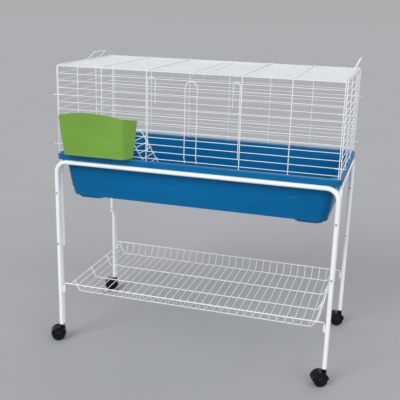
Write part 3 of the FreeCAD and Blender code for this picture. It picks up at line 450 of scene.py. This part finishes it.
# Wire panels of the four walls. The front's middle upright is left out for the door.
thin, heavy = 2.2, 3.0
wall = {"rowTop": 1043, "rowStep": 24.9, "rows": 13, "bay": 165, "bays": 6, "endBay": 158, "endBays": 3,
        "weldX": 499.5, "weldY": 239, "past": 1.6, "foot": 733, "top": 1044.2, "rearTop": 1050, "bead": 0.95}
rowHeights = [wall["rowTop"] - k * wall["rowStep"] for k in range(wall["rows"])]
railY, railX = wall["weldY"] - thin / 2, wall["weldX"] - thin / 2
uprightY, uprightX = wall["weldY"] + heavy / 2, wall["weldX"] + heavy / 2
rearColumns = inRow(wall["bays"] + 1, wall["bay"])
frontColumns = [x for x in rearColumns if x != 0]
endColumns = inRow(wall["endBays"] + 1, wall["endBay"])
longEnd, shortEnd = rearColumns[-1] + wall["past"], endColumns[-1] + wall["past"]
doorSide = wall["bay"] - wall["past"]
fullRows = (0, 1, wall["rows"] - 1)


def railSpans(whole):
    return [(-longEnd, longEnd)] if whole else [(-longEnd, -doorSide), (doorSide, longEnd)]


frontRails = [straight((start, -railY, z), (end, -railY, z))
              for row, z in enumerate(rowHeights) for start, end in railSpans(row in fullRows)]
addWires("frontRails", "wire_top", "front_panel_rails", thin, frontRails)
addWires("frontUprights", "wire_top", "front_panel_uprights", heavy,
         [straight((x, -uprightY, wall["foot"]), (x, -uprightY, wall["top"])) for x in frontColumns])
addBeads("frontWelds", "wire_top", wall["bead"],
         [at(x, -wall["weldY"], z) for z in rowHeights for x in frontColumns])
addWires("rearRails", "wire_top", "rear_panel_rails", thin,
         [straight((-longEnd, railY, z), (longEnd, railY, z)) for z in rowHeights])
addWires("rearUprights", "wire_top", "rear_panel_uprights", heavy,
         [straight((x, uprightY, wall["foot"]), (x, uprightY, wall["rearTop"])) for x in rearColumns])
addBeads("rearWelds", "wire_top", wall["bead"],
         [at(x, wall["weldY"], z) for x in rearColumns for z in rowHeights])
for side, sign in (("left", -1), ("right", 1)):
    addWires(side + "Rails", "wire_top", side + "_panel_rails", thin,
             [straight((sign * railX, -shortEnd, z), (sign * railX, shortEnd, z)) for z in rowHeights])
    addWires(side + "Uprights", "wire_top", side + "_panel_uprights", heavy,
             [straight((sign * uprightX, y, wall["foot"]), (sign * uprightX, y, wall["top"]))
              for y in endColumns])
    addBeads(side + "Welds", "wire_top", wall["bead"],
             [at(sign * wall["weldX"], y, z) for y in endColumns for z in rowHeights])
print("wall panels made")

# Roof panel, and the hooks that hold the corners together. The wires in the CAD have six sides.
cornerReach = thin / math.sqrt(3)
roof = {"count": 20, "behindDoor": 3, "endX": 491, "gap": 0.1, "inset": 0.2}
roofZ = wall["rowTop"] + cornerReach + roof["gap"] + thin / 2
roofY = wall["weldY"] - roof["inset"] - cornerReach
roofStep = 2 * roofY / (roof["count"] - 1)
hingeY = roofY - (roof["behindDoor"] - 1) * roofStep
crossZ = roofZ + (thin + heavy) / 2
crossEnd = wall["weldY"] - roof["inset"]
crossColumns = [-roof["endX"], *frontColumns[1:-1], roof["endX"]]
roofRows = [-roofY + k * roofStep for k in range(roof["count"])]
roofDoorRows = roofRows[1:-roof["behindDoor"]]
addWires("roofRails", "wire_top", "roof_panel_rails", thin,
         [straight((start, y, roofZ), (end, y, roofZ))
          for y in roofRows for start, end in railSpans(y not in roofDoorRows)])
addWires("roofCrossWires", "wire_top", "roof_panel_cross_wires", heavy,
         [straight((x, -crossEnd, crossZ), (x, crossEnd, crossZ)) for x in crossColumns])
addBeads("roofWelds", "wire_top", wall["bead"],
         [at(x, y, roofZ + thin / 2) for y in roofRows for x in crossColumns])

hooks = {"start": 480, "reach": 514.5, "y": 243.1, "back": 10, "bend": 3.3, "rows": (4, 11)}
hookRuns = []
for sign in (-1, 1):
    for turn in (-1, 1):
        for row in hooks["rows"]:
            z = rowHeights[row]
            hookRuns.append([(at(sign * hooks["start"], turn * hooks["y"], z), 0),
                             (at(sign * hooks["reach"], turn * hooks["y"], z), hooks["bend"]),
                             (at(sign * hooks["reach"], turn * (hooks["y"] - hooks["back"]), z), 0)])
addWires("cornerHooks", "wire_top", "corner_hooks", thin, hookRuns)
print("roof made")

# Front door and its latch.
door = {"wire": 2.5, "edgeX": 160, "hookHalf": 3.5, "hookWidth": 25, "hookRise": 4.9, "hookLeg": 84,
        "tail": 0.5, "seat": 0.16, "slide": 0.3, "bead": 0.9, "bendSteps": 10}
edgeY = railY + door["hookHalf"]
doorY = edgeY - door["wire"] / 2 - door["seat"] - thin / 2
doorRows = rowHeights[2:-1]
doorEnd = door["edgeX"] + wall["past"]
addWires("frontDoorRails", "front_door", "front_door_rails", thin,
         [straight((-doorEnd, -doorY, z), (doorEnd, -doorY, z)) for z in doorRows])
crownZ = rowHeights[1] + door["hookRise"]
hookBend = math.hypot(door["hookWidth"], 2 * door["hookHalf"]) / 2
hookBack = -railY + door["hookHalf"]
edgeRuns = []
for sign in (-1, 1):
    outer, inner = sign * door["edgeX"], sign * (door["edgeX"] - door["hookWidth"])
    edgeRuns.append([(at(outer, -edgeY, doorRows[-1] - wall["past"]), 0),
                     (at(outer, -edgeY, crownZ), hookBend),
                     (at(inner, hookBack, crownZ), hookBend),
                     (at(inner, hookBack, rowHeights[1] - door["hookLeg"]), 0)])
addWires("frontDoorEdges", "front_door", "front_door_edges", door["wire"], edgeRuns,
         bendSteps=door["bendSteps"])
addBeads("frontDoorWelds", "front_door", door["bead"],
         [at(sign * door["edgeX"], -(edgeY + doorY) / 2, z) for sign in (-1, 1) for z in doorRows])

latch = {"half": 21, "x": -6, "tip": 6, "jog": 11, "jogBend": 4}
clear = (thin + door["wire"]) / 2 + door["slide"]
latchFront, latchBack = -(doorY + clear), -(railY - clear)
sill, apex = rowHeights[-1], rowHeights[1] - thin / 2
legs = []
for sign in (-1, 1):
    x = latch["x"] + sign * latch["half"]
    legs.append([(at(x, latchBack, sill - latch["tip"]), 0),
                 (at(x, latchBack, sill + latch["jog"] / 2), latch["jogBend"]),
                 (at(x, latchFront, sill + latch["jog"]), latch["jogBend"]),
                 (at(x, latchFront, apex), latch["half"])])
addWires("frontDoorLatch", "front_latch", "front_door_latch", door["wire"], [legs[0] + legs[1][::-1]],
         bendSteps=door["bendSteps"])

# Roof door and its latch.
hookReach = cornerReach + door["slide"] + heavy / 2
roofEdgeZ = roofZ + hookReach
roofDoorZ = roofEdgeZ - (heavy + thin) / 2
addWires("roofDoorRails", "roof_door", "roof_door_rails", thin,
         [straight((-doorEnd, y, roofDoorZ), (doorEnd, y, roofDoorZ)) for y in roofDoorRows])
edgeRuns = []
for x in (-door["edgeX"], door["edgeX"]):
    edgeRuns.append([(at(x, -wall["weldY"], roofEdgeZ), 0),
                     (at(x, hingeY + hookReach, roofEdgeZ), hookReach),
                     (at(x, hingeY + hookReach, roofZ - hookReach), hookReach),
                     (at(x, hingeY - door["tail"], roofZ - hookReach), 0)])
addWires("roofDoorEdges", "roof_door", "roof_door_edges", heavy, edgeRuns)
addBeads("roofDoorWelds", "roof_door", wall["bead"],
         [at(sign * door["edgeX"], y, roofDoorZ + thin / 2) for sign in (-1, 1) for y in roofDoorRows])

roofLatch = {"half": 20, "x": 18, "drop": 7, "tip": 4.5, "length": 385, "bend": 2.5}
latchZ = roofDoorZ + clear
noseY = -wall["weldY"] - door["wire"] / 2 - door["slide"]
tipZ, heelY = wall["rowTop"] - roofLatch["drop"], noseY + roofLatch["length"]
legs = []
for sign in (-1, 1):
    x = roofLatch["x"] + sign * roofLatch["half"]
    legs.append([(at(x, noseY + roofLatch["tip"], tipZ), 0), (at(x, noseY, tipZ), roofLatch["bend"]),
                 (at(x, noseY, latchZ), roofLatch["bend"]), (at(x, heelY, latchZ), roofLatch["half"])])
addWires("roofDoorLatch", "roof_latch", "roof_door_latch", door["wire"], [legs[0] + legs[1][::-1]],
         bendSteps=door["bendSteps"])
print("doors made")

# Carrying handles: each side has its sign, the roof bay of its middle and how far it leans out in degrees.
handle = {"wire": 3.5, "reach": 47, "bays": 4, "gripBend": 7, "tail": 0.5, "wireSides": 12, "bendSteps": 8,
          "sides": (("left", -1, 1, -45), ("right", 1, 4, 25))}
ear = heavy / math.sqrt(3) + door["slide"] + handle["wire"] / 2
for side, sign, bay, lean in handle["sides"]:
    rise = Vector((sign * math.sin(math.radians(lean)), 0, math.cos(math.radians(lean))))
    across = Vector((-sign * rise.z, 0, math.sin(math.radians(lean))))
    legs = []
    for turn in (-1, 1):
        pivot = Vector((sign * roof["endX"], roofStep * (bay + turn * handle["bays"] / 2), crossZ))
        spots = ((pivot - across * ear + rise * handle["tail"], 0), (pivot - across * ear - rise * ear, ear),
                 (pivot + across * ear - rise * ear, ear),
                 (pivot + across * ear + rise * handle["reach"], handle["gripBend"]))
        legs.append([(at(*spot), bend) for spot, bend in spots])
    addWires(side + "Handle", side + "_handle", side + "_handle", handle["wire"], [legs[0] + legs[1][::-1]],
             handle["wireSides"], handle["bendSteps"])

# Ramp.
ramp = {"wire": 4, "rung": 3, "front": -152, "width": 114, "row": 10, "level": 235, "slope": 59, "hook": 9,
        "pitch": 23.5, "hookBend": 4, "browBend": 16, "floor": 580, "wireSides": 12}
rampZ = rowHeights[ramp["row"]] + cornerReach + door["slide"] + ramp["wire"] / 2
rampOut = -(railX + thin / 2 + door["slide"] + ramp["wire"] / 2)
fall = math.radians(ramp["slope"])
down, over = Vector((math.cos(fall), 0, -math.sin(fall))), Vector((math.sin(fall), 0, math.cos(fall)))
brow = Vector((-railX + ramp["level"], 0, rampZ))
rampEnd = ramp["floor"] + (door["slide"] + ramp["wire"] / math.sqrt(3)) * math.cos(fall)
rampRun = (rampZ - rampEnd) / math.sin(fall)
sideRuns = []
for y in (ramp["front"], ramp["front"] + ramp["width"]):
    shift = Vector((0, y, 0))
    sideRuns.append([(at(rampOut, y, rampZ - ramp["hook"]), 0), (at(rampOut, y, rampZ), ramp["hookBend"]),
                     (at(*(brow + shift)), ramp["browBend"]), (at(*(brow + down * rampRun + shift)), 0)])
addWires("rampSides", "ramp", "ramp_sides", ramp["wire"], sideRuns, ramp["wireSides"])
rungSeat = (ramp["wire"] + ramp["rung"]) / 2
levelCount, slopeCount = int(ramp["level"] / ramp["pitch"]), int(rampRun / ramp["pitch"])
rungMiddles = [Vector((-railX + k * ramp["pitch"], 0, rampZ + rungSeat)) for k in range(1, levelCount)]
rungMiddles += [brow + down * (k * ramp["pitch"]) + over * rungSeat for k in range(1, slopeCount)]
rungEnds = [Vector((0, ramp["front"] - ramp["wire"], 0)),
            Vector((0, ramp["front"] + ramp["width"] + ramp["wire"], 0))]
addWires("rampRungs", "ramp", "ramp_rungs", ramp["rung"],
         [[(at(*(spot + end)), 0) for end in rungEnds] for spot in rungMiddles])
print("handles and ramp made")

# Shelf basket.
shelf = {"rim": 4, "wire": 2.6, "hangX": 490.5, "legY": 250, "rimZ": 233, "drop": 34, "rimBend": 8,
         "floorX": 444, "flare": 18, "depth": 38, "floorY": 226,
         "runners": 4, "runnerPitch": 144, "runnerBend": 8,
         "count": 31, "pitch": 29.1, "wireBend": 6, "gap": 0.2, "bead": 1.1, "rimSides": 12}
hang, rimZ, lowZ = shelf["hangX"], shelf["rimZ"], shelf["rimZ"] - shelf["depth"]
rimRuns, runnerRuns, endRuns, crossRuns = [], [], [], []
for y in (-shelf["legY"], shelf["legY"]):
    rimRuns.append([(at(-hang, y, rimZ - shelf["drop"]), 0), (at(-hang, y, rimZ), shelf["rimBend"]),
                    (at(hang, y, rimZ), shelf["rimBend"]), (at(hang, y, rimZ - shelf["drop"]), 0)])
addWires("shelfRims", "shelf", "shelf_rims", shelf["rim"], rimRuns, shelf["rimSides"])
endX = shelf["floorX"] + shelf["flare"]
runnerYs = inRow(shelf["runners"], shelf["runnerPitch"])
for y in runnerYs:
    runnerRuns.append([(at(-endX, y, rimZ), 0), (at(-shelf["floorX"], y, lowZ), shelf["runnerBend"]),
                       (at(shelf["floorX"], y, lowZ), shelf["runnerBend"]), (at(endX, y, rimZ), 0)])
addWires("shelfRunners", "shelf", "shelf_runners", shelf["rim"], runnerRuns, shelf["rimSides"])
# At each end one wire runs between the long rims, and one halfway down runs past the outer runners.
lean = math.atan2(shelf["flare"], shelf["depth"])
rimHalf, middleHalf = shelf["legY"] - shelf["rim"] / 2 - shelf["gap"], runnerYs[-1] + shelf["rim"]
for sign in (-1, 1):
    for share, half in ((0, rimHalf), (0.5, middleHalf)):
        x = sign * (endX - shelf["flare"] * share + math.cos(lean) * shelf["rim"])
        z = rimZ - shelf["depth"] * share - math.sin(lean) * shelf["rim"]
        endRuns.append(straight((x, -half, z), (x, half, z)))
addWires("shelfEndWires", "shelf", "shelf_end_wires", shelf["rim"], endRuns, shelf["rimSides"])
floorZ = lowZ + (shelf["rim"] + shelf["wire"]) / 2
slope = Vector((0, shelf["legY"] - shelf["floorY"], shelf["depth"])).normalized()
lift = shelf["rim"] / math.sqrt(3) + shelf["wire"] / 2
top = Vector((0, shelf["legY"], rimZ)) + Vector((0, -slope.z, slope.y)) * lift + slope * shelf["wire"]
knee = top - slope * ((top.z - floorZ) / slope.z)
shelfColumns = inRow(shelf["count"], shelf["pitch"])
for x in shelfColumns:
    crossRuns.append([(at(x, -top.y, top.z), 0), (at(x, -knee.y, knee.z), shelf["wireBend"]),
                      (at(x, knee.y, knee.z), shelf["wireBend"]), (at(x, top.y, top.z), 0)])
addWires("shelfCrossWires", "shelf", "shelf_cross_wires", shelf["wire"], crossRuns)
addBeads("shelfWelds", "shelf", shelf["bead"],
         [at(x, y, lowZ + shelf["rim"] / 2) for x in shelfColumns for y in runnerYs])
print("shelf made")

# Stand tubes. The round tube is a hair deeper than wide, so that the arcs of its section don't meet.
stand = {"legX": 502.5, "legY": 250, "width": 15, "depth": 30, "wall": 1.2, "foot": 65, "top": 713,
         "bend": 40.5, "bendSteps": 14, "ease": 0.6,
         "endTube": 16, "endDepth": 16.0016, "endLegY": 226.9, "endFoot": 377, "endBend": 40}


def addTube(name, node, corners, bend, width, depth):
    run = [(at(*corner), radius) for corner, radius in zip(corners, (0, bend, bend, 0))]
    piece = growPiece(name, drawRuns(name, [run], stand["ease"] * mm, tubeEnd), tubeTree, {
        "Width": width * mm, "Depth": depth * mm, "Bend Steps": stand["bendSteps"], "Caps": False,
        "Finish": tubePaint})
    tubeWall = piece.modifiers.new("wall", "SOLIDIFY")
    tubeWall.thickness = stand["wall"] * mm
    tubeWall.offset = -1
    fitPiece(piece, "stand", node)


for side, sign in (("front", -1), ("rear", 1)):
    x, y, z = stand["legX"], sign * stand["legY"], stand["top"] - stand["width"] / 2
    addTube(side + "Frame", side + "_frame",
            [(-x, y, stand["foot"]), (-x, y, z), (x, y, z), (x, y, stand["foot"])],
            stand["bend"], stand["width"], stand["depth"])
for side, sign in (("left", -1), ("right", 1)):
    x, y, z = sign * stand["legX"], stand["endLegY"], stand["top"] - stand["endTube"] / 2
    addTube(side + "EndFrame", side + "_end_frame",
            [(x, -y, stand["endFoot"]), (x, -y, z), (x, y, z), (x, y, stand["endFoot"])],
            stand["endBend"], stand["endTube"], stand["endDepth"])
print("stand made")

# Plugs in the ends of the legs, with the caster stems through them.
plug = {"out": 6.7, "lip": 5.9, "mouth": 4.6, "bore": 4.15, "low": 65, "soft": 0.6, "high": 76, "points": 32}
ovalLift = (stand["depth"] - stand["width"]) / 2


def plugRing(x, y, radius, stretch, z):
    ring = []
    for k in range(plug["points"]):
        turn = 2 * math.pi * (k + 0.5) / plug["points"]
        shift = math.copysign(stretch, math.sin(turn))
        ring.append(at(x + radius * math.cos(turn), y + radius * math.sin(turn) + shift, z))
    return ring


plugLevels = ((plug["out"], ovalLift, plug["high"]), (plug["out"], ovalLift, plug["low"] + plug["soft"]),
              (plug["lip"], ovalLift, plug["low"]), (plug["mouth"], 0, plug["low"]),
              (plug["bore"], 0, plug["low"] + plug["soft"]), (plug["bore"], 0, plug["high"]))
plugPoints, plugFaces = [], []
feet = {"front_left": (-1, -1), "front_right": (1, -1), "rear_left": (-1, 1), "rear_right": (1, 1)}
for signX, signY in feet.values():
    x, y = signX * stand["legX"], signY * stand["legY"]
    points, faces = skinRings([plugRing(x, y, *level) for level in plugLevels])
    plugFaces += [tuple(corner + len(plugPoints) for corner in face) for face in faces]
    plugPoints += points
addMesh("legPlugs", "stand", "white_paint", tubePaint, plugPoints, plugFaces)

# Screw heads where the end frames are fixed to the legs, and the sockets that carry the shelf.
screw = {"ring": 2.5, "height": 2, "core": 0.9, "heights": (589, 394), "ys": (-265.5, 218.4)}
screwPlaces = [at(x, y, z) for x in (-stand["legX"], stand["legX"])
               for y in screw["ys"] for z in screw["heights"]]
screws = growPiece("frameScrews", markPlaces("frameScrews", screwPlaces), screwTree, {
    "Radius": screw["ring"] * mm, "Height": screw["height"] * mm, "Core": screw["core"] * mm,
    "Rotation": (math.pi / 2, 0, 0), "Finish": brightSteel})
fitPiece(screws, "stand")
socket = {"soft": 0.6, "softSteps": 2}
addSoftCopy("shelfSockets", "stand", "shelf_sockets", tubePaint,
            socket["soft"], socket["softSteps"])
print("plugs, screws and sockets made")

# Tray, whose wall steps in below the crease, and hay rack.
tray = {"crease": 606, "under": 604.2, "step": 2.6, "soft": 1.2, "softSteps": 3}
rack = {"soft": 1.0, "softSteps": 3}


def stepWall(work):
    for height in (tray["crease"], tray["under"]):
        cut = cutThrough(work, (0, 0, height * mm), (0, 0, 1))
    work.normal_update()
    for corner in (part for part in cut["geom_cut"] if isinstance(part, bmesh.types.BMVert)):
        outward = Vector((corner.normal.x, corner.normal.y, 0)).normalized()
        away = Vector((corner.co.x - cageMiddle.x, corner.co.y - cageMiddle.y, 0))
        if outward.dot(away) > 0:
            corner.co -= outward * (tray["step"] * mm)


addSoftCopy("trayShell", "tray", "tray", trayPlastic,
            tray["soft"], tray["softSteps"], stepWall)
addSoftCopy("hayRack", "hay_rack", "hay_rack", rackPlastic, rack["soft"], rack["softSteps"])
print("tray and rack made")

# Casters: lathed wheels with capped hubs, rounded hoods and turned stems.
caster = {"turn": 208, "trail": 16, "hub": 25, "wheelSteps": 48, "stemSteps": 32, "soft": 0.9, "softSteps": 3,
          "hoodSide": 20, "hoodCuts": 4, "hoodInner": 26.1, "hoodOuter": 28.75}
wheelProfile = (
    (0, 21.3), (3.05, 21.3), (3.05, 5.5), (8.5, 5.5), (9.2, 6.3), (20.6, 6.3), (21.3, 5.5), (22.8, 5.5),
    (24.2, 6.1), (24.9, 7.4), (25, 9), (25, 16.4), (24.7, 18.2), (23.8, 19.7), (22.4, 20.5), (20.9, 20.5),
    (20.1, 20.0), (19.6, 19.3), (18.6, 19.1), (10.6, 19.3), (9.9, 19.7), (9.3, 20.6), (8.2, 21.5),
    (6, 22.1), (3, 22.4), (0, 22.5))
stemProfile = ((0, 57), (6.4, 57), (7, 57.6), (7, 64.1), (6.4, 64.7), (4, 64.7), (4, 90), (3, 91), (0, 91))
casterTurn = math.radians(caster["turn"])
trailWay = Vector((math.cos(casterTurn), math.sin(casterTurn), 0))
axleWay = Vector((-trailWay.y, trailWay.x, 0))
upWay = Vector((0, 0, 1))


# The corners of the hood's flat sides lie on circles round the axle, and the sides are moved out onto them.
def roundHood(work, hub):
    side, cuts = math.radians(caster["hoodSide"]), caster["hoodCuts"]
    for k in range(round(math.pi / side) * cuts):
        slant = k * side / cuts
        cutThrough(work, hub, upWay * math.cos(slant) - trailWay * math.sin(slant))
    for corner in work.verts:
        arm = corner.co - hub
        arm -= axleWay * arm.dot(axleWay)
        slant = math.atan2(arm.z, arm.dot(trailWay))
        flat = math.cos(side / 2) / math.cos(slant % side - side / 2)
        if slant >= 0 and caster["hoodInner"] * mm < arm.length / flat < caster["hoodOuter"] * mm:
            corner.co += arm * (1 / flat - 1)


for name, (signX, signY) in feet.items():
    foot = at(signX * stand["legX"], signY * stand["legY"], 0)
    hub = foot + trailWay * (caster["trail"] * mm) + upWay * (caster["hub"] * mm)
    label = name.split("_")[0] + name.split("_")[1].capitalize()
    for side, axis in (("inner", -axleWay), ("outer", axleWay)):
        node = f"{name}_{side}_wheel"
        addMesh(label + side.capitalize() + "Wheel", node, "black_plastic", casterPlastic,
                *lathe(hub, axis, wheelProfile, caster["wheelSteps"]), node)
    addMesh(label + "Stem", name + "_caster", "bright_steel", brightSteel,
            *lathe(foot, upWay, stemProfile, caster["stemSteps"]), name + "_caster_stem")
    addSoftCopy(label + "Hood", name + "_caster", name + "_caster_hood", casterPlastic,
                caster["soft"], caster["softSteps"], lambda work: roundHood(work, hub))
    axle = cadNodes[name + "_caster_axle"]
    axle.data.materials.clear()
    axle.data.materials.append(brightSteel)
print("casters made")

# Floor, with half its width in metres.
ground = {"half": 40, "dark": (0.385, 0.388, 0.395), "light": (0.397, 0.4, 0.407), "rough": 0.8,
          "cloud": {"scale": 2.5, "detail": 4, "blend": (0.3, 0.7)}}
floorLook, floorTree, floorShader, floorCoords = startFinish("paleFloor")
setInputs(floorTree, floorShader, {
    "Base Color": addPattern(floorTree, floorCoords, ground["cloud"], (ground["dark"], ground["light"])),
    "Roughness": ground["rough"], "Specular IOR Level": 0})
floorMesh = bpy.data.meshes.new("floor")
floorCorners = [(x * ground["half"], y * ground["half"], 0) for x, y in ((-1, -1), (1, -1), (1, 1), (-1, 1))]
floorMesh.from_pydata(floorCorners, [], [(0, 1, 2, 3)])
floorMesh.materials.append(floorLook)
floor = newPiece("floor", floorMesh)

# World: one colour lights the cage, and another is what the camera and the glossy finishes see.
world = bpy.data.worlds.new("studio")
bpy.context.scene.world = world
world.use_nodes = True
sky = {"light": (0.95, 0.98, 1.0), "strength": 0.64, "seen": (0.412, 0.42, 0.43)}
skyTree = world.node_tree
skyLight = skyTree.nodes["Background"]
setInputs(skyTree, skyLight, {"Color": (*sky["light"], 1), "Strength": sky["strength"]})
skySeen = addNode(skyTree, "ShaderNodeBackground", {"Color": (*sky["seen"], 1)})
rays = skyTree.nodes.new("ShaderNodeLightPath").outputs
seenBy = rays["Is Camera Ray"]
for name in ("Is Glossy Ray", "Is Transmission Ray"):
    either = addNode(skyTree, "ShaderNodeMath", {0: seenBy, 1: rays[name]}, operation="MAXIMUM")
    seenBy = either.outputs["Value"]
skyMix = addNode(skyTree, "ShaderNodeMixShader", {
    "Fac": seenBy, 1: skyLight.outputs["Background"], 2: skySeen.outputs["Background"]})
setInputs(skyTree, skyTree.nodes["World Output"], {"Surface": skyMix.outputs["Shader"]})

# Lamps: name, strength, turns and spread, both in degrees.
lamps = (("key", 1.5, (58, 0, -26), 30), ("fill", 1.05, (66, 0, 52), 60), ("back", 0.45, (62, 0, 165), 60))
for name, strength, turns, spread in lamps:
    lamp = bpy.data.lights.new(name, "SUN")
    lamp.energy = strength
    lamp.angle = math.radians(spread)
    holder = bpy.data.objects.new(name, lamp)
    holder.rotation_euler = [math.radians(angle) for angle in turns]
    bpy.context.scene.collection.objects.link(holder)

# Camera: its turn, tilt and roll are in degrees, and how far it sees is in metres.
shot = {"place": (689, -2436, 1284.9), "turn": 16.61, "tilt": 16.29, "roll": 1.53,
        "lens": 62.478, "sensor": 36, "far": 200}
turn, tilt, roll = (math.radians(shot[key]) for key in ("turn", "tilt", "roll"))
ahead = Vector((-math.sin(turn) * math.cos(tilt), math.cos(turn) * math.cos(tilt), -math.sin(tilt)))
right = Vector((math.cos(turn), math.sin(turn), 0))
up = right.cross(ahead)
sideways = math.cos(roll) * right + math.sin(roll) * up
upward = -math.sin(roll) * right + math.cos(roll) * up
lens = bpy.data.cameras.new("camera")
lens.sensor_width = shot["sensor"]
lens.lens = shot["lens"]
lens.clip_end = shot["far"]
camera = bpy.data.objects.new("camera", lens)
pose = Matrix((sideways, upward, -ahead)).transposed().to_4x4()
pose.translation = at(*shot["place"])
camera.matrix_world = pose
bpy.context.scene.collection.objects.link(camera)
bpy.context.scene.camera = camera
bpy.context.scene.view_settings.view_transform = "Standard"
print("stage made")
